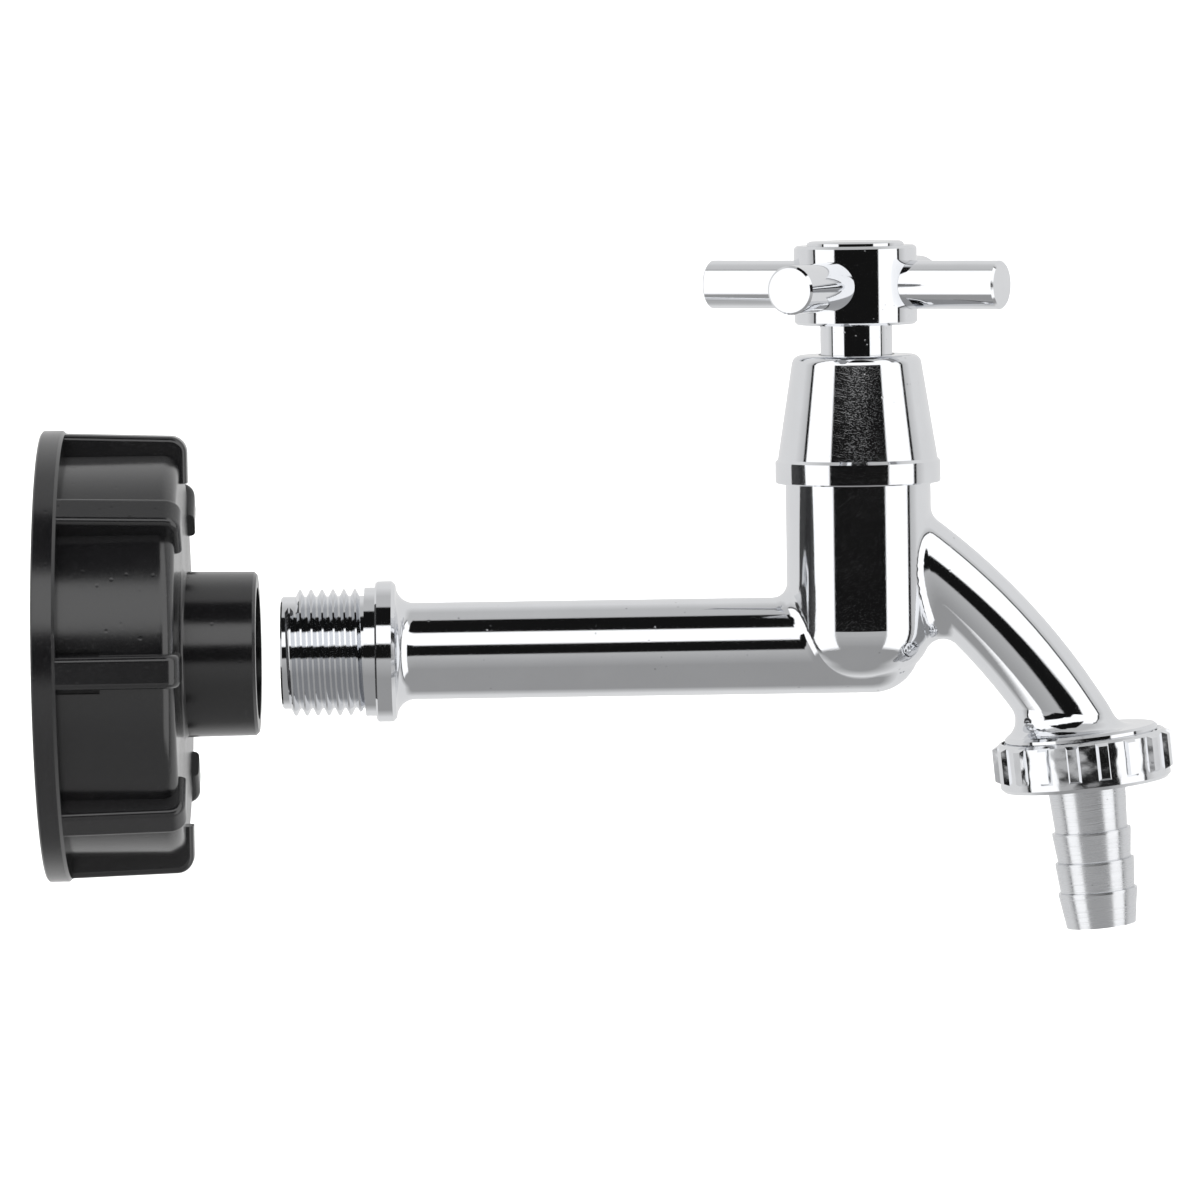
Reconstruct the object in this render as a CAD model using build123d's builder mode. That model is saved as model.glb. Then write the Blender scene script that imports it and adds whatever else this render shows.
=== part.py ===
"""Long-shank hose bib with a cross handle, its hose union and its screw-on tank adapter, in millimetres.

X runs along the inlet shank, from the tank towards the spout, and Z is up. The origin is on the
shank's axis, in the flange's sealing face.
"""

import math
import os

from build123d import *

os.makedirs("parts", exist_ok=True)

# ------------------------------------------------------------------ pipe threads, 14 turns to the inch
pipe_pitch = 25.4 / 14
pipe_depth = 1.16
pipe_root_flat = 0.30
pipe_flank = 2 * math.tan(math.radians(27.5))
pipe_relief = 0.40
pipe_overcut = 0.15
thread_lead = 0.8 + 0.4 * pipe_pitch
thread_start = 40  # degrees round from each blank's own starting side
thread_gap = 0.15  # between the flanks, crests and roots of a screwed pair

# ------------------------------------------------------------------ inlet shank and flange
inlet_r = 10.45  # thread crest
inlet_length = 13.8
collar_r = inlet_r + 0.2
collar_length = 1.8
flange_r = inlet_r + 1.2
flange_thick = 3.3
flange_edge = 0.6
shank_r = 8.0
shank_fillet = 3.0
shank_bore_r = 5.5

# ------------------------------------------------------------------ valve chamber, on the spindle's axis
spindle_x = 80.0
chamber_r = 12.0
chamber_top = 29.0
chamber_floor = -5.5
chamber_round = 8.5
elbow_past_axis = 2.0  # how far the shank's round end sits beyond the spindle's axis
inner_r = chamber_r - 2.7
sump_r = 6.0
sump_floor = -3.5
seat_ceiling = 6.0
seat_floor = 8.5
seat_top = 9.5
seat_hole_r = 5.0
seat_lip = 1.2

# ------------------------------------------------------------------ spout
spout_r = 6.8
spout_bore_r = 4.7
spout_start = (spindle_x + 9.8, 14.35)  # where the straight root of the spout becomes its long bend
spout_slope = 38.0
spout_bend_r = 106.0
spout_bend = 19.0
spout_straight = 2.6
spout_tight_r = 12.0
outlet_tilt = 5.5
outlet_crest_r = 13.1
bell_r = outlet_crest_r - 0.4
bell_thick = 1.0
bell_fillet = 3.5
outlet_thread = 3.4
casting_fillet = 2.4
spout_fillet = 3.0

# ------------------------------------------------------------------ headwork (the screwed-in valve top)
headwork_r = chamber_r - 1.7
headwork_bottom = 21.5
joint_gap = 0.05  # radial clearance of fixed parts and running shafts
gasket_thick = 0.8
gasket_r = chamber_r - 0.2
headwork_flange = 0.8
headwork_hex = 19.0
headwork_hex_top = 34.0
cover_seat_r = 9.5
cover_seat_top = 41.0
headwork_neck_r = 7.2
headwork_top = 43.5
carrier_hex = 11.8
carrier_hex_gap = 0.1
thrust_top = 31.0
thrust_thick = 0.4

# ------------------------------------------------------------------ spindle
spindle_bottom = 19.3
spindle_thread_r = 4.0
spindle_pitch = 2.0
spindle_thread_depth = 0.8
spindle_relief = 1.8  # undercut where the grooves run out under the collar
spindle_r = 4.5
spindle_collar_r = spindle_r + 1.2
spindle_collar = 1.6
spindle_top = 57.0
spline_teeth = 20
spline_r = spindle_r - 0.5
spline_depth = 0.35
ring_section_r = 0.68
ring_heights = (34.6, 38.2)
ring_groove_r = spindle_r - 1.35
ring_groove_width = 1.9
clip_thick = 0.7
clip_r = spindle_r + 1.1
clip_groove_r = spindle_r - 0.6
clip_opening = 5.0
spline_bottom = 44.9

# ------------------------------------------------------------------ valve carrier and its washer
carrier_top = 23.8
carrier_shoulder = 16.0
carrier_bottom = 13.0
carrier_disc_r = 7.0
carrier_bore_floor = 14.0
carrier_relief = 2.2  # undercut at the bottom of the tapped bore
carrier_relief_gap = 0.35
stud_r = 2.0
stud_bottom = 6.9
washer_r = 6.9
washer_gap = 0.05
washer_nut_hex = 7.0
washer_nut_height = 2.1
valve_lift = 5.0

# ------------------------------------------------------------------ bonnet cover
skirt_r = chamber_r + 1.65
skirt_bottom = 26.9
skirt_top = 30.4
cover_base = 30.9
cover_base_r = chamber_r + 1.2
cover_crown_r = 10.5
cover_top = 48.0
cover_wall = 1.0
cover_roof = 1.5
cover_fillet = 1.6
cover_land = (36.0, 40.0)
neck_gap = 0.35

# ------------------------------------------------------------------ cross handle
hub_r = 10.15
hub_bottom = 53.0
hub_top = 66.0
neck_r = 5.95
neck_bottom = 45.0
arm_r = 4.0
arm_reach = 26.2
arm_turn = -26.0  # the cross stands turned about the spindle
arm_count = 4
arm_socket = 8.0
arm_stud_r = 2.5
arm_stud_reach = 5.6
screw_web = (57.3, 58.8)
screw_r = 2.5
screw_head_r = 4.2
screw_head = 2.2
screw_length = 9.0
index_r = 8.0
index_sink = 0.8
index_proud = 0.7
index_plug_r = screw_head_r + 0.2
index_plug = 3.0

# ------------------------------------------------------------------ union nut and hose tail, along the outlet's axis
nut_r = outlet_crest_r + 1.05
nut_height = 8.1
nut_rib_r = nut_r + 0.8
nut_rib_top = 0.2
nut_rib_length = 6.5
nut_rib_base = 2.5
nut_rib_crest = 1.5
nut_ribs = 18
nut_lip_gap = 0.05
outlet_washer_thick = 1.6
outlet_washer_r = outlet_crest_r - 1.5
outlet_washer_bore_r = 6.0
tail_collar = 1.6
tail_collar_r = outlet_crest_r - 1.4
tail_hub_r = 8.0
tail_bore_r = 4.6
tail_root_r = 6.45
tail_root_end_r = 6.0
barb_starts = (15.8, 20.8, 25.8)
barb_r = 6.55
barb_land = 0.4
barb_end_rs = (6.05, 6.15, 5.75)
tail_length = 31.7

# ------------------------------------------------------------------ tank adapter
cap_gap = 3.9  # between the boss and the shank's tip, as the two lie apart
boss_r = inlet_r + 3.25
boss_length = 12.3
boss_draft = 0.15
boss_mouth = 2.3
inlet_collar_bore_r = collar_r + 0.25
cap_r = 33.2
cap_depth = 22.8
cap_round = 2.8
cap_wall = 3.0
cap_ring_r = 37.3
cap_ring = 3.9
tank_mouth_r = 30.4
tank_mouth = 3.4
tank_major_r = tank_mouth_r - 0.3
tank_minor_r = tank_mouth_r - 2.1
tank_pitch = 6.0
tank_thread = 9.0
lug_count = 8
lug_width = 5.4
lug_back_r = 36.9
lug_front_r = 36.1
lug_inner_r = 28.4
lug_proud = 1.1
lug_round = 2.8
lug_edge = 1.0
lug_slot = (6.9, 0.9, 0.7)
tank_relief_r = 29.6
tank_gasket_thick = 3.0
tank_gasket_r = 29.4
tank_gasket_bore_r = 22.5

inlet_tip = -(inlet_length + collar_length)
boss_end = inlet_tip - cap_gap
cap_face = boss_end - boss_length
cap_rim = cap_face - cap_depth
cap_floor = cap_face - cap_wall
headwork_seat = chamber_top + gasket_thick
spindle_relief_r = spindle_thread_r - spindle_thread_depth - 0.1
carrier_groove_start = carrier_bore_floor + 1.4
spindle_groove_start = carrier_groove_start + 1.5 * spindle_pitch
spindle_collar_top = thrust_top - thrust_thick
spindle_collar_bottom = spindle_collar_top - spindle_collar
lip_top = outlet_thread + outlet_washer_thick + tail_collar + nut_lip_gap
arm_height = (hub_bottom + hub_top) / 2

# the spout's middle line, as points (X, Z) and slopes below the horizontal
root_slope = math.radians(spout_slope)
chord_slope = math.radians(spout_slope + spout_bend / 2)
end_slope = math.radians(spout_slope + spout_bend)
tilt = math.radians(outlet_tilt)
tight_bend = 90 - outlet_tilt - spout_slope - spout_bend
tight_slope = math.radians(spout_slope + spout_bend + tight_bend / 2)
chord = 2 * spout_bend_r * math.sin(math.radians(spout_bend / 2))
tight_chord = 2 * spout_tight_r * math.sin(math.radians(tight_bend / 2))
spout_root = (spout_start[0] - 7 * math.cos(root_slope), spout_start[1] + 7 * math.sin(root_slope))
bend_end = (spout_start[0] + chord * math.cos(chord_slope), spout_start[1] - chord * math.sin(chord_slope))
turn_start = (bend_end[0] + spout_straight * math.cos(end_slope), bend_end[1] - spout_straight * math.sin(end_slope))
spout_end = (turn_start[0] + tight_chord * math.cos(tight_slope), turn_start[1] - tight_chord * math.sin(tight_slope))

spindle_base = Plane((spindle_x, 0, 0))
spindle_axis = Axis((spindle_x, 0, 0), (0, 0, 1))
spindle_plane = Plane((spindle_x, 0, 0), x_dir=(1, 0, 0), z_dir=(0, -1, 0))  # local x is the radius, y is Z
outlet_dir = Vector(math.sin(tilt), 0, -math.cos(tilt))
outlet_point = Vector(spout_end[0], 0, spout_end[1]) - outlet_thread * outlet_dir
outlet_axis = Axis(outlet_point, outlet_dir)
outlet_plane = Plane(outlet_point, x_dir=(0, 1, 0), z_dir=outlet_dir)
outlet_section = Plane(outlet_point, x_dir=(math.cos(tilt), 0, math.sin(tilt)), z_dir=(0, 1, 0))

def thread_plane(origin, side, along):
    """A plane across a thread's axis, turned so the thread starts away from the blank's own seam."""
    return Plane(origin, x_dir=Vector(side).rotate(Axis((0, 0, 0), along), thread_start), z_dir=along)


inlet_threads = thread_plane((0, 0, 0), (0, 0, 1), (1, 0, 0))
spindle_threads = thread_plane((spindle_x, 0, 0), (1, 0, 0), (0, 0, 1))
outlet_threads = thread_plane(outlet_point, (0, 1, 0), outlet_dir)


def turned(points, plane, axis):
    """A solid turned about axis from a closed outline of points on plane."""
    with BuildPart() as blank:
        with BuildSketch(plane):
            with BuildLine():
                Polyline(*points, close=True)
            make_face()
        revolve(axis=axis)
    return blank.part


def rod(start, along, radius, length):
    """A plain cylinder from a point along a direction."""
    with BuildPart() as blank:
        with BuildSketch(Plane(start, z_dir=along)):
            Circle(radius)
        extrude(amount=length)
    return blank.part


def spout_tube(radius):
    """A round bar following the spout's middle line."""
    with BuildPart() as tube:
        with BuildLine(Plane.XZ) as path:
            Line(spout_root, spout_start)
            JernArc(spout_start, (math.cos(root_slope), -math.sin(root_slope)), spout_bend_r, -spout_bend)
            Line(bend_end, turn_start)
            JernArc(turn_start, (math.cos(end_slope), -math.sin(end_slope)), spout_tight_r, -tight_bend)
        with BuildSketch(Plane(path.line @ 0, z_dir=path.line % 0)):
            Circle(radius)
        sweep(path=path.line)
    return tube.part


def helical_bar(plane, pitch, start, turns, inner, outer, inner_width, outer_width, lefthand=False):
    """A bar of tapered section, inner to outer radius, wound about the plane's z axis from start."""
    middle = (inner + outer) / 2
    with BuildPart() as bar:
        with BuildLine(Plane.XY.offset(start)) as path:
            Helix(pitch, pitch * turns, middle, lefthand=lefthand)
        with BuildSketch(Plane(path.line @ 0, x_dir=(1, 0, 0), z_dir=path.line % 0)):
            with BuildLine():
                Polyline(
                    (inner - middle, -inner_width / 2),
                    (outer - middle, -outer_width / 2),
                    (outer - middle, outer_width / 2),
                    (inner - middle, inner_width / 2),
                    close=True,
                )
            make_face()
        sweep(path=path.line, is_frenet=True)
    return bar.part.moved(plane.location)


def pipe_tap_r(crest_r):
    """Radius of the tapped bore, opened so that its ridges keep a flat."""
    return crest_r - pipe_depth + pipe_relief


def pipe_ridge(plane, crest_r, start, end):
    """The ridge of an outside pipe thread, wound between two heights on a core of the root radius."""
    inner = crest_r - pipe_depth - 0.1
    crest = pipe_pitch - pipe_root_flat - pipe_flank * pipe_depth
    base = crest + pipe_flank * (crest_r - inner)
    return helical_bar(plane, pipe_pitch, start, (end - start) / pipe_pitch, inner, crest_r, base, crest)


def pipe_tap(plane, crest_r, start, turns):
    """What a tap takes out of a bore for that outside thread, with thread_gap all round its ridge."""
    crest = pipe_pitch - pipe_root_flat - pipe_flank * pipe_depth + 2 * thread_gap
    outer = crest_r + thread_gap
    inner = pipe_tap_r(crest_r) - pipe_overcut
    return helical_bar(plane, pipe_pitch, start, turns, inner, outer, crest + pipe_flank * (outer - inner), crest)


def spline_outline(radius):
    """Corner points of the fine spline, alternating between its crests and roots."""
    step = math.pi / spline_teeth
    radii = (radius, radius - spline_depth)
    return [(radii[i % 2] * math.cos(i * step), radii[i % 2] * math.sin(i * step)) for i in range(2 * spline_teeth)]


def finish(part, name):
    """Names one piece and writes its STEP file."""
    part.label = name
    export_step(part, f"parts/{name}.step")


# ------------------------------------------------------------------ tap body: one casting, bored and threaded
inlet_ridge = pipe_ridge(inlet_threads, inlet_r, inlet_tip + thread_lead, -collar_length - 0.8)
outlet_ridge = pipe_ridge(outlet_threads, outlet_crest_r, 0.9, outlet_thread - 0.8)
headwork_start = headwork_bottom - 1.0
headwork_tap = pipe_tap(spindle_threads, headwork_r, headwork_bottom + 0.8 - pipe_pitch, 7)
spout = spout_tube(spout_r)
spout_bore = spout_tube(spout_bore_r)
threaded_end = turned(
    [
        (0, 0),
        (outlet_crest_r - pipe_depth, 0),
        (outlet_crest_r - pipe_depth, outlet_thread),
        (0, outlet_thread),
    ],
    outlet_section, outlet_axis)
bell = turned(
    [(0, -bell_thick), (bell_r - 0.4, -bell_thick), (bell_r, 0.4 - bell_thick), (bell_r, 0), (0, 0)],
    outlet_section, outlet_axis)

with BuildPart() as tap_body:
    # spigot, collar, flange, shank and the shank's round end
    with BuildSketch(Plane.XZ) as shank_outline:
        with BuildLine():
            tip = Polyline(
                (inlet_tip, 0),
                (inlet_tip, inlet_r - pipe_depth - 0.3),
                (inlet_tip + 0.3, inlet_r - pipe_depth),
                (-collar_length, inlet_r - pipe_depth),
                (-collar_length, collar_r),
                (0, collar_r),
                (0, flange_r - flange_edge / 2),
                (flange_edge / 2, flange_r),
                (flange_thick - flange_edge, flange_r),
                (flange_thick, flange_r - flange_edge),
                (flange_thick + 0.4, shank_r),
                (spindle_x + elbow_past_axis, shank_r),
            )
            RadiusArc(tip @ 1, (spindle_x + elbow_past_axis + shank_r, 0), shank_r)
            Line((spindle_x + elbow_past_axis + shank_r, 0), (inlet_tip, 0))
        make_face()
        corner = shank_outline.vertices().sort_by_distance((flange_thick + 0.4, shank_r))[0]
        fillet(corner, shank_fillet)
    revolve(axis=Axis.X)

    # valve chamber, round at its foot
    with BuildSketch(spindle_plane):
        with BuildLine():
            side = Polyline(
                (0, chamber_floor),
                (0, chamber_top),
                (chamber_r, chamber_top),
                (chamber_r, chamber_floor + chamber_round),
            )
            RadiusArc(side @ 1, (chamber_r - chamber_round, chamber_floor), chamber_round)
            Line((chamber_r - chamber_round, chamber_floor), (0, chamber_floor))
        make_face()
    revolve(axis=spindle_axis)
    fillet(tap_body.edges().filter_by(GeomType.BSPLINE), casting_fillet)

    # spout, its bell and its threaded end
    add(spout)
    spout_roots = tap_body.edges().filter_by(GeomType.BSPLINE).filter_by(lambda e: e.center().X > 90.2)
    fillet(spout_roots, spout_fillet)
    add(threaded_end)
    add(bell)
    bell_edges = tap_body.edges().filter_by(lambda e: e.geom_type in (GeomType.BSPLINE, GeomType.ELLIPSE))
    fillet(bell_edges.filter_by(lambda e: e.center().Z < -10), bell_fillet)

    # waterways: shank bore, sump, seat, chamber and spout bore
    with BuildSketch(Plane.XZ):
        with BuildLine():
            Polyline((inlet_tip - 1, 0), (inlet_tip - 1, shank_bore_r), (spindle_x, shank_bore_r), (spindle_x, 0),
                     close=True)
        make_face()
    revolve(axis=Axis.X, mode=Mode.SUBTRACT)
    with BuildSketch(spindle_plane):
        with BuildLine():
            Polyline(
                (0, sump_floor),
                (sump_r - 1, sump_floor),
                (sump_r, sump_floor + 1),
                (sump_r, seat_ceiling),
                (seat_hole_r, seat_ceiling),
                (seat_hole_r, seat_top),
                (seat_hole_r + seat_lip, seat_top),
                (seat_hole_r + seat_lip + 0.4, seat_floor),
                (inner_r, seat_floor),
                (inner_r, headwork_start),
                (pipe_tap_r(headwork_r), headwork_start),
                (pipe_tap_r(headwork_r), chamber_top - 0.8),
                (pipe_tap_r(headwork_r) + 1.2, chamber_top + 0.1),
                (0, chamber_top + 0.1),
                close=True,
            )
        make_face()
    revolve(axis=spindle_axis, mode=Mode.SUBTRACT)
    add(spout_bore, mode=Mode.SUBTRACT)

    # threads
    add(headwork_tap, mode=Mode.SUBTRACT)
    add(inlet_ridge)
    add(outlet_ridge)
finish(tap_body.part, "tap_body")

# ------------------------------------------------------------------ headwork
headwork_ridge = pipe_ridge(spindle_threads, headwork_r, headwork_bottom + 0.8, chamber_top - 1.4)
with BuildPart() as headwork_body:
    with BuildSketch(spindle_plane):
        with BuildLine():
            Polyline(
                (0, headwork_bottom),
                (headwork_r - pipe_depth - 0.4, headwork_bottom),
                (headwork_r - pipe_depth, headwork_bottom + 0.4),
                (headwork_r - pipe_depth, headwork_seat),
                (gasket_r, headwork_seat),
                (gasket_r, headwork_seat + headwork_flange),
                (0, headwork_seat + headwork_flange),
                close=True,
            )
        make_face()
    revolve(axis=spindle_axis)
    add(headwork_ridge)
    with BuildSketch(spindle_base.offset(headwork_seat + headwork_flange)):
        RegularPolygon(headwork_hex / 2, 6, major_radius=False)
    extrude(amount=headwork_hex_top - headwork_seat - headwork_flange)
    with BuildSketch(spindle_plane):
        with BuildLine():
            Polyline(
                (0, headwork_hex_top - 1),
                (cover_seat_r, headwork_hex_top - 1),
                (cover_seat_r, cover_seat_top),
                (headwork_neck_r, cover_seat_top),
                (headwork_neck_r, headwork_top - 0.4),
                (headwork_neck_r - 0.4, headwork_top),
                (0, headwork_top),
                close=True,
            )
        make_face()
    revolve(axis=spindle_axis)
    # hexagonal guide for the valve carrier, thrust chamber and spindle bore
    with BuildSketch(spindle_base.offset(headwork_bottom)):
        RegularPolygon(carrier_hex / 2 + carrier_hex_gap, 6, major_radius=False)
    extrude(amount=spindle_collar_bottom - headwork_bottom, mode=Mode.SUBTRACT)
    with BuildSketch(spindle_base.offset(spindle_collar_bottom)):
        Circle(spindle_collar_r + joint_gap)
    extrude(amount=spindle_collar + thrust_thick, mode=Mode.SUBTRACT)
    with BuildSketch(spindle_base.offset(thrust_top)):
        Circle(spindle_r + joint_gap)
    extrude(amount=headwork_top - thrust_top, mode=Mode.SUBTRACT)
finish(headwork_body.part, "headwork_body")

with BuildPart() as headwork_gasket:
    with BuildSketch(spindle_base.offset(chamber_top)):
        Circle(gasket_r)
        Circle(headwork_r + 0.35, mode=Mode.SUBTRACT)
    extrude(amount=gasket_thick)
finish(headwork_gasket.part, "headwork_gasket")

# ------------------------------------------------------------------ spindle and what turns with it
spindle_grooves = helical_bar(
    spindle_threads, spindle_pitch, spindle_groove_start,
    (spindle_collar_bottom - spindle_relief / 2 - spindle_groove_start) / spindle_pitch,
    spindle_thread_r - spindle_thread_depth, spindle_thread_r + 0.3, 0.6, 1.54, lefthand=True)
clip_bottom = headwork_top + 0.1
with BuildPart() as spindle:
    with BuildSketch(spindle_plane):
        with BuildLine():
            lower = [
                (0, spindle_bottom),
                (spindle_thread_r - 0.5, spindle_bottom),
                (spindle_thread_r, spindle_bottom + 0.5),
                (spindle_thread_r, spindle_collar_bottom - spindle_relief),
                (spindle_relief_r, spindle_collar_bottom - spindle_relief),
                (spindle_relief_r, spindle_collar_bottom),
                (spindle_collar_r, spindle_collar_bottom),
                (spindle_collar_r, spindle_collar_top),
                (spindle_r, spindle_collar_top),
            ]
            grooves = []
            for height in ring_heights:
                grooves += [
                    (spindle_r, height - ring_groove_width / 2),
                    (ring_groove_r, height - ring_groove_width / 2),
                    (ring_groove_r, height + ring_groove_width / 2),
                    (spindle_r, height + ring_groove_width / 2),
                ]
            upper = [
                (spindle_r, clip_bottom),
                (clip_groove_r, clip_bottom),
                (clip_groove_r, clip_bottom + clip_thick + 0.1),
                (spindle_r, clip_bottom + clip_thick + 0.1),
                (spindle_r, spline_bottom),
                (0, spline_bottom),
            ]
            Polyline(*lower, *grooves, *upper, close=True)
        make_face()
    revolve(axis=spindle_axis)
    with BuildSketch(spindle_base.offset(spline_bottom)):
        Polygon(*spline_outline(spline_r), align=None)
    extrude(amount=spindle_top - spline_bottom)
    with BuildSketch(spindle_base.offset(spindle_top)):
        Circle(screw_r + joint_gap)
    extrude(amount=-screw_length, mode=Mode.SUBTRACT)
    add(spindle_grooves, mode=Mode.SUBTRACT)
finish(spindle.part, "spindle")

with BuildPart() as spindle_o_rings:
    for height in ring_heights:
        with BuildSketch(spindle_plane):
            with Locations((ring_groove_r + ring_section_r + 0.01, height)):
                Circle(ring_section_r)
        revolve(axis=spindle_axis)
finish(spindle_o_rings.part, "spindle_o_rings")

with BuildPart() as thrust_washer:
    with BuildSketch(spindle_base.offset(spindle_collar_top)):
        Circle(spindle_collar_r)
        Circle(spindle_r + joint_gap, mode=Mode.SUBTRACT)
    extrude(amount=thrust_thick)
finish(thrust_washer.part, "thrust_washer")

with BuildPart() as retaining_clip:
    with BuildSketch(spindle_base.offset(clip_bottom + 0.05)):
        Circle(clip_r)
        Circle(clip_groove_r + joint_gap, mode=Mode.SUBTRACT)
        with Locations((clip_r, 0)):
            Rectangle(2 * clip_r, clip_opening, mode=Mode.SUBTRACT)
    extrude(amount=clip_thick)
finish(retaining_clip.part, "retaining_clip")

# ------------------------------------------------------------------ valve carrier, its washer and nut
carrier_tap = helical_bar(
    spindle_threads, spindle_pitch, carrier_groove_start, 4.9,
    spindle_thread_r - spindle_thread_depth - 0.2, spindle_thread_r + thread_gap, 1.716, 0.76, lefthand=True)
with BuildPart() as valve_carrier:
    with BuildSketch(spindle_plane):
        with BuildLine():
            Polyline(
                (0, stud_bottom),
                (stud_r - 0.3, stud_bottom),
                (stud_r, stud_bottom + 0.3),
                (stud_r, carrier_bottom),
                (carrier_disc_r, carrier_bottom),
                (carrier_disc_r, carrier_shoulder - 0.5),
                (carrier_disc_r - 0.5, carrier_shoulder),
                (0, carrier_shoulder),
                close=True,
            )
        make_face()
    revolve(axis=spindle_axis)
    with BuildSketch(spindle_base.offset(carrier_shoulder)):
        RegularPolygon(carrier_hex / 2, 6, major_radius=False)
    extrude(amount=carrier_top - carrier_shoulder)
    with BuildSketch(spindle_base.offset(carrier_top)):
        Circle(spindle_thread_r - spindle_thread_depth + thread_gap)
    extrude(amount=carrier_bore_floor - carrier_top, mode=Mode.SUBTRACT)
    with BuildSketch(spindle_base.offset(carrier_bore_floor)):
        Circle(spindle_thread_r + carrier_relief_gap)
    extrude(amount=carrier_relief, mode=Mode.SUBTRACT)
    add(carrier_tap, mode=Mode.SUBTRACT)
finish(valve_carrier.part, "valve_carrier")

with BuildPart() as valve_washer:
    with BuildSketch(spindle_base.offset(seat_top)):
        Circle(washer_r)
        Circle(stud_r + washer_gap, mode=Mode.SUBTRACT)
    extrude(amount=carrier_bottom - seat_top)
    fillet(valve_washer.edges().filter_by(GeomType.CIRCLE).group_by(SortBy.RADIUS)[-1], 0.3)
finish(valve_washer.part, "valve_washer")

with BuildPart() as washer_nut:
    with BuildSketch(spindle_base.offset(seat_top)):
        RegularPolygon(washer_nut_hex / 2, 6, major_radius=False)
        Circle(stud_r + washer_gap, mode=Mode.SUBTRACT)
    extrude(amount=-washer_nut_height)
finish(washer_nut.part, "washer_nut")

# ------------------------------------------------------------------ bonnet cover
cone_run = (cover_base_r - cover_crown_r) / (cover_top - cover_base)


def cover_inner(height):
    """Inside radius of the cover's cone at a height."""
    return cover_base_r - cone_run * (height - cover_base) - cover_wall


with BuildPart() as bonnet_cover:
    with BuildSketch(spindle_plane) as cover_outline:
        with BuildLine():
            Polyline(
                (chamber_r + joint_gap * 2, skirt_bottom),
                (skirt_r - 0.2, skirt_bottom),
                (skirt_r, skirt_bottom + 0.2),
                (skirt_r, skirt_top),
                (cover_base_r, cover_base),
                (cover_crown_r, cover_top),
                (neck_r + neck_gap, cover_top),
                (neck_r + neck_gap, cover_top - cover_roof),
                (cover_inner(cover_top - cover_roof), cover_top - cover_roof),
                (cover_inner(cover_land[1]), cover_land[1]),
                (cover_seat_r + joint_gap, cover_land[1]),
                (cover_seat_r + joint_gap, cover_land[0]),
                (cover_inner(cover_land[0]), cover_land[0]),
                (chamber_r + joint_gap * 2, cover_base + 0.6),
                close=True,
            )
        make_face()
        crown = cover_outline.vertices().sort_by_distance((cover_crown_r, cover_top))[0]
        fillet(crown, cover_fillet)
    revolve(axis=spindle_axis)
finish(bonnet_cover.part, "bonnet_cover")

# ------------------------------------------------------------------ cross handle
arm_angles = [math.radians(arm_turn + i * 360 / arm_count) for i in range(arm_count)]
sockets = []
for angle in arm_angles:
    along = Vector(math.cos(angle), math.sin(angle), 0)
    centre = Vector(spindle_x, 0, arm_height)
    sockets.append(rod(centre + arm_socket * along, along, arm_r + 0.02, hub_r))
    sockets.append(rod(centre + (arm_stud_reach - 0.1) * along, along, arm_stud_r + 0.02, hub_r))

with BuildPart() as handle_hub:
    with BuildSketch(spindle_plane) as hub_outline:
        with BuildLine():
            Polyline(
                (0, neck_bottom),
                (neck_r - 0.3, neck_bottom),
                (neck_r, neck_bottom + 0.3),
                (neck_r, hub_bottom),
                (hub_r - 0.45, hub_bottom),
                (hub_r, hub_bottom + 0.45),
                (hub_r, hub_top - 0.45),
                (hub_r - 0.45, hub_top),
                (index_r + 0.05, hub_top),
                (index_r + 0.05, hub_top - index_sink),
                (index_plug_r + joint_gap, hub_top - index_sink),
                (index_plug_r + joint_gap, screw_web[1]),
                (screw_r + 0.1, screw_web[1]),
                (screw_r + 0.1, screw_web[0]),
                (0, screw_web[0]),
                close=True,
            )
        make_face()
    revolve(axis=spindle_axis)
    with BuildSketch(spindle_base.offset(neck_bottom)):
        Polygon(*spline_outline(spline_r + joint_gap), align=None)
    extrude(amount=screw_web[0] - neck_bottom, mode=Mode.SUBTRACT)
    for socket in sockets:
        add(socket, mode=Mode.SUBTRACT)
finish(handle_hub.part, "handle_hub")

for number, angle in enumerate(arm_angles, start=1):
    arm_base = Plane((spindle_x, 0, arm_height), x_dir=(0, 0, 1), z_dir=(math.cos(angle), math.sin(angle), 0))
    with BuildPart() as handle_arm:
        with BuildSketch(arm_base.offset(arm_stud_reach)):
            Circle(arm_stud_r)
        extrude(amount=arm_socket - arm_stud_reach)
        with BuildSketch(arm_base.offset(arm_socket)):
            Circle(arm_r)
        extrude(amount=arm_reach - arm_socket)
        chamfer(handle_arm.edges().filter_by(GeomType.CIRCLE).sort_by(Axis(arm_base.origin, arm_base.z_dir))[-1], 0.35)
    finish(handle_arm.part, f"handle_arm_{number}")

with BuildPart() as handle_screw:
    with BuildSketch(spindle_base.offset(screw_web[1])):
        Circle(screw_head_r)
    extrude(amount=screw_head)
    fillet(handle_screw.edges().sort_by(Axis.Z)[-1], 0.5)
    with BuildSketch(spindle_base.offset(screw_web[1] + screw_head)):
        Rectangle(2 * screw_head_r - 2.4, 0.9)
        Rectangle(0.9, 2 * screw_head_r - 2.4)
    extrude(amount=-1.2, mode=Mode.SUBTRACT)
    with BuildSketch(spindle_base.offset(screw_web[1])):
        Circle(screw_r)
    extrude(amount=-screw_length)
finish(handle_screw.part, "handle_screw")

with BuildPart() as index_cap:
    with BuildSketch(spindle_plane):
        with BuildLine():
            Polyline(
                (0, hub_top - index_plug),
                (index_plug_r, hub_top - index_plug),
                (index_plug_r, hub_top - index_sink),
                (index_r, hub_top - index_sink),
                (index_r, hub_top + index_proud - 0.3),
                (index_r - 0.5, hub_top + index_proud),
                (0, hub_top + index_proud),
                close=True,
            )
        make_face()
    revolve(axis=spindle_axis)
finish(index_cap.part, "index_cap")

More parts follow.
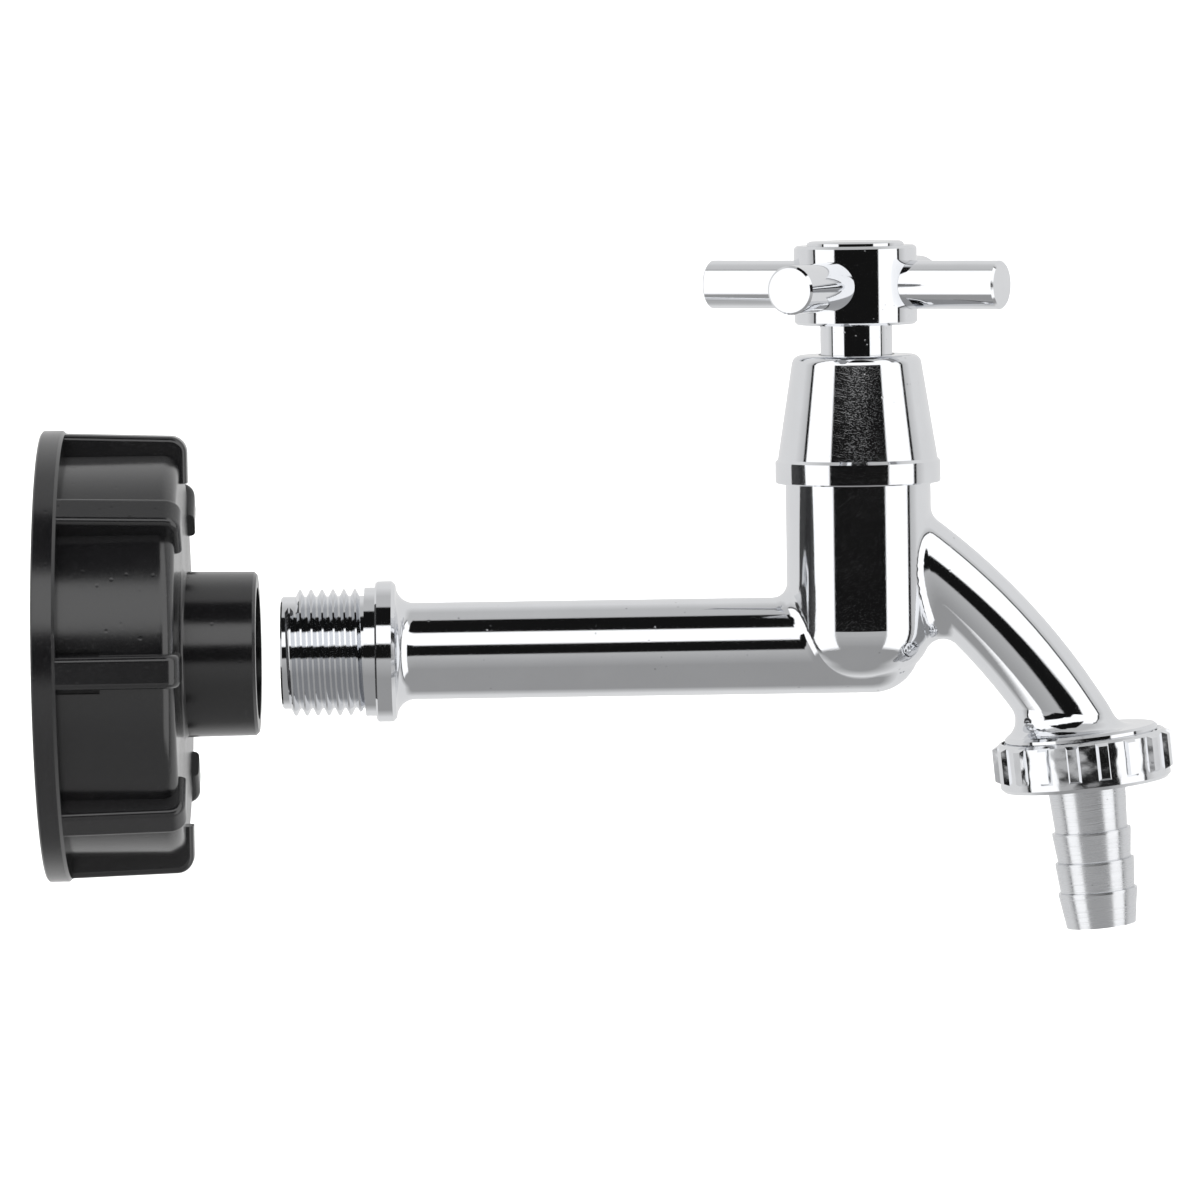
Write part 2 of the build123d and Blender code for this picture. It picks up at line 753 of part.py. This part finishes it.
# ------------------------------------------------------------------ union nut, hose tail and outlet washer
nut_tap = pipe_tap(outlet_threads, outlet_crest_r, 0.9 - 2 * pipe_pitch, (lip_top - 1.9) / pipe_pitch + 2)
nut_blank = turned(
    [
        (pipe_tap_r(outlet_crest_r) + 0.9, 0),
        (nut_r - 0.5, 0),
        (nut_r, 0.5),
        (nut_r, nut_height - 0.6),
        (nut_r - 0.6, nut_height),
        (tail_hub_r + 0.3, nut_height),
        (tail_hub_r + 0.3, lip_top),
        (pipe_tap_r(outlet_crest_r), lip_top),
        (pipe_tap_r(outlet_crest_r), 0.8),
    ],
    outlet_section, outlet_axis)
nut_rib = Plane(outlet_point + (nut_rib_top + nut_rib_length / 2) * outlet_dir, x_dir=(0, 1, 0),
                z_dir=(math.cos(tilt), 0, math.sin(tilt)))
with BuildPart() as rib_blank:
    with BuildSketch(nut_rib.offset(nut_r - 0.5)):
        Rectangle(nut_rib_base, nut_rib_length)
    with BuildSketch(nut_rib.offset(nut_rib_r)):
        Rectangle(nut_rib_crest, nut_rib_length - 1.2)
    loft()
with BuildPart() as union_nut:
    add(nut_blank)
    for i in range(nut_ribs):
        add(rib_blank.part.rotate(outlet_axis, i * 360 / nut_ribs))
    add(nut_tap, mode=Mode.SUBTRACT)
finish(union_nut.part, "union_nut")

barb_outline = []
for start, end, end_r in zip(barb_starts, barb_starts[1:] + (tail_length,), barb_end_rs):
    barb_outline += [(barb_r, start), (barb_r, start + barb_land), (end_r, end)]
with BuildPart() as hose_tail:
    with BuildSketch(outlet_section):
        with BuildLine():
            Polyline(
                (tail_bore_r, outlet_thread + outlet_washer_thick),
                (tail_collar_r, outlet_thread + outlet_washer_thick),
                (tail_collar_r, outlet_thread + outlet_washer_thick + tail_collar),
                (tail_hub_r, outlet_thread + outlet_washer_thick + tail_collar),
                (tail_hub_r, nut_height - 0.2),
                (tail_root_r, nut_height + 0.3),
                (tail_root_end_r, barb_starts[0]),
                *barb_outline,
                (tail_bore_r, tail_length),
                close=True,
            )
        make_face()
    revolve(axis=outlet_axis)
finish(hose_tail.part, "hose_tail")

with BuildPart() as outlet_washer:
    with BuildSketch(outlet_plane.offset(outlet_thread)):
        Circle(outlet_washer_r)
        Circle(outlet_washer_bore_r, mode=Mode.SUBTRACT)
    extrude(amount=outlet_washer_thick)
finish(outlet_washer.part, "outlet_washer")

# ------------------------------------------------------------------ tank adapter and its gasket
boss_tap = pipe_tap(inlet_threads, inlet_r, inlet_tip + thread_lead - 12 * pipe_pitch, 8.7)
tank_tap = helical_bar(
    inlet_threads, tank_pitch, cap_rim - tank_pitch * 0.4, (tank_mouth + tank_thread) / tank_pitch,
    tank_minor_r - 0.8, tank_major_r, 4.6, 2.4)
with BuildPart() as lug_blank:
    with BuildSketch(Plane.XZ) as lug_outline:
        with BuildLine():
            Polyline(
                (cap_rim + 1.0, cap_r - 2.0),
                (cap_rim + 1.0, lug_back_r),
                (cap_face + lug_proud, lug_front_r),
                (cap_face + lug_proud, lug_inner_r),
                (cap_face - 1.5, lug_inner_r),
                (cap_face - 1.5, cap_r - 2.0),
                close=True,
            )
        make_face()
        nose = lug_outline.vertices().sort_by_distance((cap_face + lug_proud, lug_front_r))[0]
        fillet(nose, lug_round)
    extrude(amount=lug_width / 2, both=True)
    side_edges = lug_blank.edges().filter_by(lambda e: abs(abs(e.center().Y) - lug_width / 2) < 0.01)
    fillet(side_edges.filter_by(lambda e: e.center().Z > cap_r or e.center().X > cap_face + 0.5), lug_edge)
with BuildPart() as adapter_cap:
    with BuildSketch(Plane.XZ) as cap_outline:
        with BuildLine():
            Polyline(
                (cap_rim, tank_mouth_r),
                (cap_rim, cap_ring_r - 0.3),
                (cap_rim + 0.3, cap_ring_r),
                (cap_rim + cap_ring - 0.5, cap_ring_r),
                (cap_rim + cap_ring, cap_ring_r - 0.5),
                (cap_rim + cap_ring, cap_r),
                (cap_face, cap_r),
                (cap_face, boss_r),
                (boss_end - 0.5, boss_r - boss_draft),
                (boss_end, boss_r - boss_draft - 0.5),
                (boss_end, inlet_collar_bore_r),
                (boss_end - boss_mouth, inlet_collar_bore_r),
                (boss_end - boss_mouth - 0.8, pipe_tap_r(inlet_r)),
                (cap_floor, pipe_tap_r(inlet_r)),
                (cap_floor, tank_relief_r),
                (cap_rim + tank_mouth + tank_thread, tank_relief_r),
                (cap_rim + tank_mouth + tank_thread, tank_minor_r),
                (cap_rim + tank_mouth + 1.5, tank_minor_r),
                (cap_rim + tank_mouth, tank_mouth_r),
                close=True,
            )
        make_face()
        shoulder = cap_outline.vertices().sort_by_distance((cap_face, cap_r))[0]
        fillet(shoulder, cap_round)
        foot = cap_outline.vertices().sort_by_distance((cap_face, boss_r))[0]
        fillet(foot, 0.8)
    revolve(axis=Axis.X)
    for i in range(lug_count):
        add(lug_blank.part.rotate(Axis.X, i * 360 / lug_count))
    for side in (1, -1):
        with BuildSketch(Plane.XZ.offset(cap_r - lug_slot[2])):
            with Locations((cap_rim + cap_ring + lug_slot[0] / 2, side * (lug_width + lug_slot[1]) / 2)):
                Rectangle(lug_slot[0], lug_slot[1])
        extrude(amount=lug_slot[2] + 0.5, mode=Mode.SUBTRACT)
    add(boss_tap, mode=Mode.SUBTRACT)
    add(tank_tap, mode=Mode.SUBTRACT)
finish(adapter_cap.part, "adapter_cap")

with BuildPart() as tank_gasket:
    with BuildSketch(Plane.YZ.offset(cap_floor - tank_gasket_thick)):
        Circle(tank_gasket_r)
        Circle(tank_gasket_bore_r, mode=Mode.SUBTRACT)
    extrude(amount=tank_gasket_thick)
finish(tank_gasket.part, "tank_gasket")
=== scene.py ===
import math

import bpy
import numpy as np
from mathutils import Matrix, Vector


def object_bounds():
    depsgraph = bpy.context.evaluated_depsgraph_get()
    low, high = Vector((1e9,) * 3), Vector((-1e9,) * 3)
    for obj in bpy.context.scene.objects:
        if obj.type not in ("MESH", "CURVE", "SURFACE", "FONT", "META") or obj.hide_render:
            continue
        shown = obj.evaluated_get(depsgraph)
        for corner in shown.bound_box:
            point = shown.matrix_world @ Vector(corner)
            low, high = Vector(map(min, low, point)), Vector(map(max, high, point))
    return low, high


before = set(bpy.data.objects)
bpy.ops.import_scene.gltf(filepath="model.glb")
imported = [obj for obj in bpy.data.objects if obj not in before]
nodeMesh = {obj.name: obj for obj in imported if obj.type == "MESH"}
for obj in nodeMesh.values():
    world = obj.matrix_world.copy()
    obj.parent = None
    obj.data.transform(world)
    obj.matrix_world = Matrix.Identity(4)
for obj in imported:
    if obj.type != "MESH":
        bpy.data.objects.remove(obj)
cadBox = [list(corner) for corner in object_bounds()]
print("frame loaded:", len(nodeMesh), "nodes")

mm = 0.001
outletTilt = math.radians(5.5)


class Graph:
    # a node tree, with one short call for each kind of node used below

    def __init__(self, tree):
        self.tree = tree
        self.tree.nodes.clear()

    def add(self, kind, **settings):
        node = self.tree.nodes.new(kind)
        for key, value in settings.items():
            setattr(node, key, value)
        return node

    def link(self, source, target):
        self.tree.links.new(source, target)

    def feed(self, node, index, value):
        # a socket takes either a plain value or another node's output
        if hasattr(value, "is_linked"):
            self.link(value, node.inputs[index])
        else:
            node.inputs[index].default_value = value

    def noise(self, where, scale, detail=3.0, rough=0.5):
        node = self.add("ShaderNodeTexNoise")
        self.link(where, node.inputs["Vector"])
        node.inputs["Scale"].default_value = scale
        node.inputs["Detail"].default_value = detail
        node.inputs["Roughness"].default_value = rough
        return node.outputs[0]

    def cells(self, where, scale):
        node = self.add("ShaderNodeTexVoronoi", feature="F1")
        self.link(where, node.inputs["Vector"])
        node.inputs["Scale"].default_value = scale
        return node.outputs["Distance"]

    def spread(self, value, low, high, toLow, toHigh):
        # moves the span low..high of a value to toLow..toHigh, clamped
        node = self.add("ShaderNodeMapRange")
        self.feed(node, 0, value)
        for index, number in enumerate((low, high, toLow, toHigh), start=1):
            node.inputs[index].default_value = number
        return node.outputs[0]

    def calc(self, operation, first, second=0.0):
        node = self.add("ShaderNodeMath", operation=operation)
        self.feed(node, 0, first)
        self.feed(node, 1, second)
        return node.outputs[0]

    def blend(self, amount, first, second):
        node = self.add("ShaderNodeMix", data_type="RGBA")
        self.feed(node, 0, amount)
        self.feed(node, 6, first)
        self.feed(node, 7, second)
        return node.outputs[2]

    def bump(self, height, strength, distance, below=None):
        node = self.add("ShaderNodeBump")
        node.inputs["Strength"].default_value = strength
        node.inputs["Distance"].default_value = distance
        self.link(height, node.inputs["Height"])
        if below is not None:
            self.link(below, node.inputs["Normal"])
        return node.outputs[0]


class Surface(Graph):
    # a material of one Principled surface, whose patterns read object coordinates

    def __init__(self, name):
        self.material = bpy.data.materials.new(name)
        self.material.use_nodes = True
        super().__init__(self.material.node_tree)
        self.principled = self.add("ShaderNodeBsdfPrincipled")
        output = self.add("ShaderNodeOutputMaterial")
        self.link(self.principled.outputs["BSDF"], output.inputs["Surface"])
        self.coords = self.add("ShaderNodeTexCoord").outputs["Object"]

    def place(self, centre=(0, 0, 0), turn=(0, 0, 0), stretch=(1, 1, 1)):
        # object coordinates about a centre, then turned, then stretched
        moved = self.add("ShaderNodeMapping", vector_type="POINT")
        self.link(self.coords, moved.inputs["Vector"])
        moved.inputs["Location"].default_value = [-c for c in centre]
        turned = self.add("ShaderNodeMapping", vector_type="POINT")
        self.link(moved.outputs[0], turned.inputs["Vector"])
        turned.inputs["Rotation"].default_value = turn
        scaled = self.add("ShaderNodeMapping", vector_type="POINT")
        self.link(turned.outputs[0], scaled.inputs["Vector"])
        scaled.inputs["Scale"].default_value = stretch
        return scaled.outputs[0]

    def set(self, socket, value):
        self.feed(self.principled, socket, value)


def tint(colour, factor=1.0):
    return [min(1.0, channel * factor) for channel in colour] + [1.0]


scratchEdge = 0.12  # how much of the noise's range a scratch takes to fade in


def scratchLines(graph, turn, scale, density):
    # thin straight scratches: noise stretched along one direction and kept only at its crests;
    # a larger density keeps fewer of them
    along, across = scale
    streaks = graph.noise(graph.place(turn=turn, stretch=(along, across, across)), 1.0, detail=0.0)
    return graph.spread(streaks, 0.5 + density, 0.5 + density + scratchEdge, 0.0, 1.0)


# in every look: a Scale counts features to a metre, an Edge or Span is the part of a pattern's range
# that is used, a Shade or Gloss multiplies the colour or the roughness, a Turn or Tilt is in radians,
# and a Reach is a bump's height; crossTurn and crossDensity are added to the first scratches' own
bodyLook = {
    "colour": (0.80, 0.81, 0.83), "roughness": 0.035,
    "cloudScale": 110, "cloudShade": (0.95, 1.05),
    "smearScale": 45, "smearStretch": (1, 1, 3), "smearSpan": (0.35, 0.7), "smearGloss": 1.9,
    "scratchTilt": (0.3, 0.5), "scratchTurn": 0.5, "scratchDensity": 0.12, "scratchScale": (45, 5200),
    "crossTilt": (0.9, -0.4), "crossTurn": 1.3, "crossDensity": 0.02, "crossScale": (60, 6400),
    "scratchRoughness": 0.04, "scratchDepth": 0.035, "scratchReach": 0.02 * mm,
    "pitScale": 520, "pitEdge": (0.05, 0.13), "pitPatchScale": 70, "pitPatchSpan": (0.56, 0.66),
    "pitStain": 0.5, "pitShade": 0.45, "pitRoughness": 0.2, "pitDepth": 0.25, "pitReach": 0.04 * mm,
    "waveScale": 42, "wave": 0.05, "waveReach": 0.4 * mm,
}
coverLook = dict(
    bodyLook, scratchTurn=1.9, scratchDensity=0.10, scratchDepth=0.04, pitScale=640, wave=0.04)
handleLook = dict(
    bodyLook, scratchTurn=2.6, scratchDensity=0.14, roughness=0.03, wave=0.015, pitScale=700)
nutLook = dict(bodyLook, roughness=0.07, scratchTurn=0.9, wave=0.35, waveScale=260, pitScale=480)


def chrome(name, look):
    # polished plating: a wavy mirror with two sets of scratches and some dull pits
    graph = Surface(name)
    cloudy = graph.noise(graph.place(), look["cloudScale"], detail=4, rough=0.6)
    smear = graph.noise(graph.place(stretch=look["smearStretch"]), look["smearScale"], detail=2)
    turn, density = look["scratchTurn"], look["scratchDensity"]
    first = scratchLines(graph, (*look["scratchTilt"], turn), look["scratchScale"], density)
    turn, density = turn + look["crossTurn"], density + look["crossDensity"]
    second = scratchLines(graph, (*look["crossTilt"], turn), look["crossScale"], density)
    scratches = graph.calc("MAXIMUM", first, second)
    pits = graph.spread(graph.cells(graph.place(), look["pitScale"]), *look["pitEdge"], 1.0, 0.0)
    patches = graph.noise(graph.place(), look["pitPatchScale"], detail=1)
    pits = graph.calc("MULTIPLY", pits, graph.spread(patches, *look["pitPatchSpan"], 0.0, 1.0))

    dark, pale = look["cloudShade"]
    colour = graph.blend(cloudy, tint(look["colour"], dark), tint(look["colour"], pale))
    stained = graph.calc("MULTIPLY", pits, look["pitStain"])
    graph.set("Base Color", graph.blend(stained, colour, tint(look["colour"], look["pitShade"])))
    graph.set("Metallic", 1.0)

    gloss = look["roughness"]
    rough = graph.spread(smear, *look["smearSpan"], gloss, gloss * look["smearGloss"])
    rough = graph.calc("ADD", rough, graph.calc("MULTIPLY", scratches, look["scratchRoughness"]))
    rough = graph.calc("ADD", rough, graph.calc("MULTIPLY", pits, look["pitRoughness"]))
    graph.set("Roughness", rough)

    waves = graph.noise(graph.place(), look["waveScale"], detail=1.5)
    wavy = graph.bump(waves, look["wave"], look["waveReach"])
    sunk = graph.calc("SUBTRACT", 0.0, scratches)
    fine = graph.bump(sunk, look["scratchDepth"], look["scratchReach"], below=wavy)
    sunk = graph.calc("SUBTRACT", 0.0, pits)
    graph.set("Normal", graph.bump(sunk, look["pitDepth"], look["pitReach"], below=fine))
    return graph.material


tailLook = {
    "colour": (0.74, 0.75, 0.77), "roughness": 0.20, "cloudScale": 160, "cloudShade": (0.9, 1.08),
    "lines": 5200, "lineRun": 60, "lineSpan": (0.3, 0.7), "lineGloss": (0.8, 1.5),
    "lineDepth": 0.35, "lineReach": 0.03 * mm,
    "nickScale": 900, "nickEdge": (0.05, 0.12), "nickPatchScale": 120, "nickPatchSpan": (0.52, 0.62),
    "nickStain": 0.5, "nickShade": 0.5, "nickDepth": 0.4, "nickReach": 0.05 * mm,
}
brassLook = dict(tailLook, colour=(0.72, 0.55, 0.27), roughness=0.24, lines=4200, lineDepth=0.3)
steelLook = dict(tailLook, colour=(0.60, 0.60, 0.61), roughness=0.28, lines=6500, lineDepth=0.2)


def turnedMetal(name, look, axisTurn, centre):
    # satin metal with fine rings round its own axis, left by the cutting tool
    graph = Surface(name)
    stretch = (look["lineRun"], look["lineRun"], look["lines"])
    where = graph.place(centre=centre, turn=axisTurn, stretch=stretch)
    rings = graph.noise(where, 1.0, detail=2, rough=0.6)
    cloudy = graph.noise(graph.place(), look["cloudScale"], detail=4, rough=0.6)
    nicks = graph.spread(graph.cells(graph.place(), look["nickScale"]), *look["nickEdge"], 1.0, 0.0)
    patches = graph.noise(graph.place(), look["nickPatchScale"])
    nicks = graph.calc("MULTIPLY", nicks, graph.spread(patches, *look["nickPatchSpan"], 0.0, 1.0))

    dark, pale = look["cloudShade"]
    colour = graph.blend(cloudy, tint(look["colour"], dark), tint(look["colour"], pale))
    stained = graph.calc("MULTIPLY", nicks, look["nickStain"])
    graph.set("Base Color", graph.blend(stained, colour, tint(look["colour"], look["nickShade"])))
    graph.set("Metallic", 1.0)
    gloss = [look["roughness"] * factor for factor in look["lineGloss"]]
    graph.set("Roughness", graph.spread(rings, *look["lineSpan"], *gloss))
    lined = graph.bump(rings, look["lineDepth"], look["lineReach"])
    sunk = graph.calc("SUBTRACT", 0.0, nicks)
    graph.set("Normal", graph.bump(sunk, look["nickDepth"], look["nickReach"], below=lined))
    return graph.material


blackLook = {
    "colour": (0.0045, 0.0045, 0.005), "roughness": 0.19, "ior": 1.78,
    "pebbleScale": 900, "pebble": 0.10, "pebbleReach": 0.05 * mm,
    "patchScale": 55, "patchShade": (0.8, 1.25), "patchSpan": (0.3, 0.7), "patchGloss": (0.85, 1.2),
    "pitScale": 420, "pitEdge": (0.06, 0.16), "pit": 0.22, "pitReach": 0.06 * mm,
    "rubTurn": (0.2, 0.4, 0.8), "rubScale": (60, 2600), "rubDensity": 0.16, "rub": 0.05,
    "rubColour": (0.06, 0.06, 0.063),
}
rubberLook = dict(
    blackLook, colour=(0.014, 0.014, 0.015), roughness=0.5, ior=1.5, pebble=0.4, rub=0.2)
fibreLook = dict(
    blackLook, colour=(0.42, 0.14, 0.09), roughness=0.7, ior=1.5, pebble=0.5,
    rubColour=(0.5, 0.2, 0.14))
slipLook = dict(
    blackLook, colour=(0.86, 0.86, 0.84), roughness=0.4, ior=1.4, rubColour=(0.7, 0.7, 0.68))


def moulded(name, look):
    # plain moulded surface: fine pebbling, small pits, a soft patchy gloss and a few pale rub marks
    graph = Surface(name)
    pebble = graph.noise(graph.place(), look["pebbleScale"], detail=2)
    patches = graph.noise(graph.place(), look["patchScale"], detail=4, rough=0.6)
    rubs = scratchLines(graph, look["rubTurn"], look["rubScale"], look["rubDensity"])
    rubbed = graph.calc("MULTIPLY", rubs, look["rub"])
    pits = graph.spread(graph.cells(graph.place(), look["pitScale"]), *look["pitEdge"], 1.0, 0.0)

    dark, pale = look["patchShade"]
    colour = graph.blend(patches, tint(look["colour"], dark), tint(look["colour"], pale))
    graph.set("Base Color", graph.blend(rubbed, colour, tint(look["rubColour"])))
    gloss = [look["roughness"] * factor for factor in look["patchGloss"]]
    rough = graph.spread(patches, *look["patchSpan"], *gloss)
    graph.set("Roughness", graph.calc("ADD", rough, rubbed))
    graph.set("IOR", look["ior"])
    pebbled = graph.bump(pebble, look["pebble"], look["pebbleReach"])
    sunk = graph.calc("SUBTRACT", 0.0, pits)
    graph.set("Normal", graph.bump(sunk, look["pit"], look["pitReach"], below=pebbled))
    return graph.material


def dress(material, *names):
    for name in names:
        mesh = nodeMesh[name].data
        mesh.materials.clear()
        mesh.materials.append(material)


arms = [f"handle_arm_{number}" for number in (1, 2, 3, 4)]
upright = (0, 0, 0)
alongOutlet = (0.0, outletTilt, 0.0)
spindleAxis = (0.080, 0, 0)
tailMiddle = (0.117, 0, -0.03)
dress(chrome("chrome on the casting", bodyLook), "tap_body")
dress(chrome("chrome on the bonnet cover", coverLook), "bonnet_cover")
dress(chrome("chrome on the handle", handleLook), "handle_hub", "index_cap", *arms)
dress(chrome("chrome on the union nut", nutLook), "union_nut")
dress(turnedMetal("satin plated tail", tailLook, alongOutlet, tailMiddle), "hose_tail")
dress(turnedMetal("turned brass", brassLook, upright, spindleAxis),
      "headwork_body", "spindle", "valve_carrier", "washer_nut")
dress(turnedMetal("stainless steel", steelLook, upright, spindleAxis),
      "handle_screw", "retaining_clip")
dress(moulded("black rubber", rubberLook),
      "spindle_o_rings", "valve_washer", "outlet_washer", "tank_gasket")
dress(moulded("red fibre", fibreLook), "headwork_gasket")
dress(moulded("white slip plastic", slipLook), "thrust_washer")
dress(moulded("black moulded plastic", blackLook), "adapter_cap")
print("materials done")


studio = {
    "floorDrop": 0.060, "floorHalf": 1.6, "front": 1.6, "wallStart": 0.7, "wallRound": 0.35,
    "wallHeight": 1.0, "roundPoints": 24,
    "paper": (0.93, 0.93, 0.93), "grain": 400, "grainShade": (0.99, 1.01), "roughness": 0.9,
}


def backdropMesh():
    # a sheet of paper: flat floor, quarter-round sweep, upright wall; the profile is carried along X
    z0 = cadBox[0][2] - studio["floorDrop"]
    turn = np.linspace(0, math.pi / 2, studio["roundPoints"])
    wallStart, wallRound = studio["wallStart"], studio["wallRound"]
    y = np.concatenate((
        [-studio["front"]], wallStart + wallRound * np.sin(turn), [wallStart + wallRound]))
    z = np.concatenate((
        [z0], z0 + wallRound * (1 - np.cos(turn)), [z0 + studio["wallHeight"]]))
    x = np.array([-studio["floorHalf"], studio["floorHalf"]])
    points = np.stack(np.broadcast_arrays(x[:, None], y[None], z[None]), -1).reshape(-1, 3)
    count = len(y)
    low = np.arange(count - 1)
    faces = np.stack((low, low + count, low + count + 1, low + 1), -1)
    mesh = bpy.data.meshes.new("paper")
    mesh.from_pydata(points.tolist(), [], faces.tolist())
    mesh.shade_smooth()
    sheet = bpy.data.objects.new("paper", mesh)
    bpy.context.collection.objects.link(sheet)
    return sheet


def paperMaterial():
    graph = Surface("studio paper")
    grain = graph.noise(graph.place(), studio["grain"], detail=2)
    dark, pale = studio["grainShade"]
    colour = graph.blend(grain, tint(studio["paper"], dark), tint(studio["paper"], pale))
    graph.set("Base Color", colour)
    graph.set("Roughness", studio["roughness"])
    graph.set("Specular IOR Level", 0.0)
    return graph.material


paper = backdropMesh()
paper.data.materials.append(paperMaterial())
paper.visible_glossy = False  # polished metal mirrors the greyer walls of the sky below instead


sky = {
    "wall": 0.70, "ground": 0.44, "groundEnd": (-0.7, 0.0),
    # what stands round the studio, each over the ones before it: its brightness, then the span of
    # azimuth and the span of height that it covers, in degrees, each with how soft its edges are;
    # azimuth 0 is towards -Y, the open side, and counts the same to the left as to the right
    "cards": (
        ("white side wall", 1.0, (96, 200, 10), (-60, 60, 12)),
        ("black front card", 0.010, (-5, 42, 1.2), (-7, 82, 1.5)),
        ("side lamp", 1.6, (42, 83, 1.2), (-40, 62, 3)),
        ("black edge card", 0.010, (83, 88, 0.8), (-40, 62, 3)),
        ("front lamp", 1.6, (-5, 60, 1.5), (17, 47.5, 1.5)),
    ),
}


def studioSky():
    # what the polished metal mirrors
    world = bpy.data.worlds.new("studio")
    world.use_nodes = True
    bpy.context.scene.world = world
    graph = Graph(world.node_tree)
    output = graph.add("ShaderNodeOutputWorld")
    light = graph.add("ShaderNodeBackground")
    graph.link(light.outputs[0], output.inputs["Surface"])
    direction = graph.add("ShaderNodeTexCoord").outputs["Generated"]
    parts = graph.add("ShaderNodeSeparateXYZ")
    graph.link(direction, parts.inputs[0])
    x, y, z = parts.outputs
    side = graph.calc("ABSOLUTE", graph.calc("ARCTAN2", x, graph.calc("MULTIPLY", y, -1.0)))
    height = graph.calc("ARCSINE", z)

    def within(value, span):
        # 1 between two angles in degrees, with soft edges
        low, high, soft = span
        rise = graph.spread(value, math.radians(low - soft), math.radians(low + soft), 0.0, 1.0)
        fall = graph.spread(value, math.radians(high - soft), math.radians(high + soft), 1.0, 0.0)
        return graph.calc("MULTIPLY", rise, fall)

    level = graph.spread(height, *sky["groundEnd"], sky["ground"], sky["wall"])
    for label, brightness, sides, heights in sky["cards"]:
        mask = graph.calc("MULTIPLY", within(side, sides), within(height, heights))
        kept = graph.calc("MULTIPLY", level, graph.calc("SUBTRACT", 1.0, mask))
        level = graph.calc("ADD", kept, graph.calc("MULTIPLY", mask, brightness))
        level.node.label = label
    graph.link(level, light.inputs["Strength"])


studioSky()


overhead = {"place": (0.04, -0.2, 1.1), "aim": (0.04, 0.2, -0.1), "size": (1.8, 1.8), "power": 26}


def softLamp(name, lamp):
    # lights what is matt, mostly the paper; nothing glossy shows it
    data = bpy.data.lights.new(name, "AREA")
    data.shape = "RECTANGLE"
    data.size, data.size_y = lamp["size"]
    data.energy = lamp["power"]
    lampObject = bpy.data.objects.new(name, data)
    lampObject.location = lamp["place"]
    toward = Vector(lamp["aim"]) - Vector(lamp["place"])
    lampObject.rotation_euler = toward.to_track_quat("-Z", "Y").to_euler()
    lampObject.visible_glossy = False
    bpy.context.collection.objects.link(lampObject)


softLamp("overhead lamp", overhead)

# height and roll in degrees, aim and distance in metres, lens and sensor in millimetres
view = {
    "aim": (0.0371, 0, 0.0080), "height": 4.2, "roll": 0.85, "distance": 1.306,
    "lens": 237, "sensor": 36, "clipEnd": 20,
}


def addCamera():
    data = bpy.data.cameras.new("camera")
    data.lens = view["lens"]
    data.sensor_width = view["sensor"]
    data.clip_end = view["clipEnd"]
    camera = bpy.data.objects.new("camera", data)
    up = math.radians(view["height"])
    roll = math.radians(view["roll"])
    back = Vector((0, -math.cos(up), math.sin(up)))
    level = Vector((1, 0, 0))
    above = Vector((0, math.sin(up), math.cos(up)))
    right = level * math.cos(roll) - above * math.sin(roll)
    top = level * math.sin(roll) + above * math.cos(roll)
    turn = Matrix((right, top, back)).transposed()
    place = Vector(view["aim"]) + back * view["distance"]
    camera.matrix_world = Matrix.Translation(place) @ turn.to_4x4()
    bpy.context.collection.objects.link(camera)
    bpy.context.scene.camera = camera


addCamera()
bpy.context.scene.view_settings.view_transform = "Standard"
print("studio done")
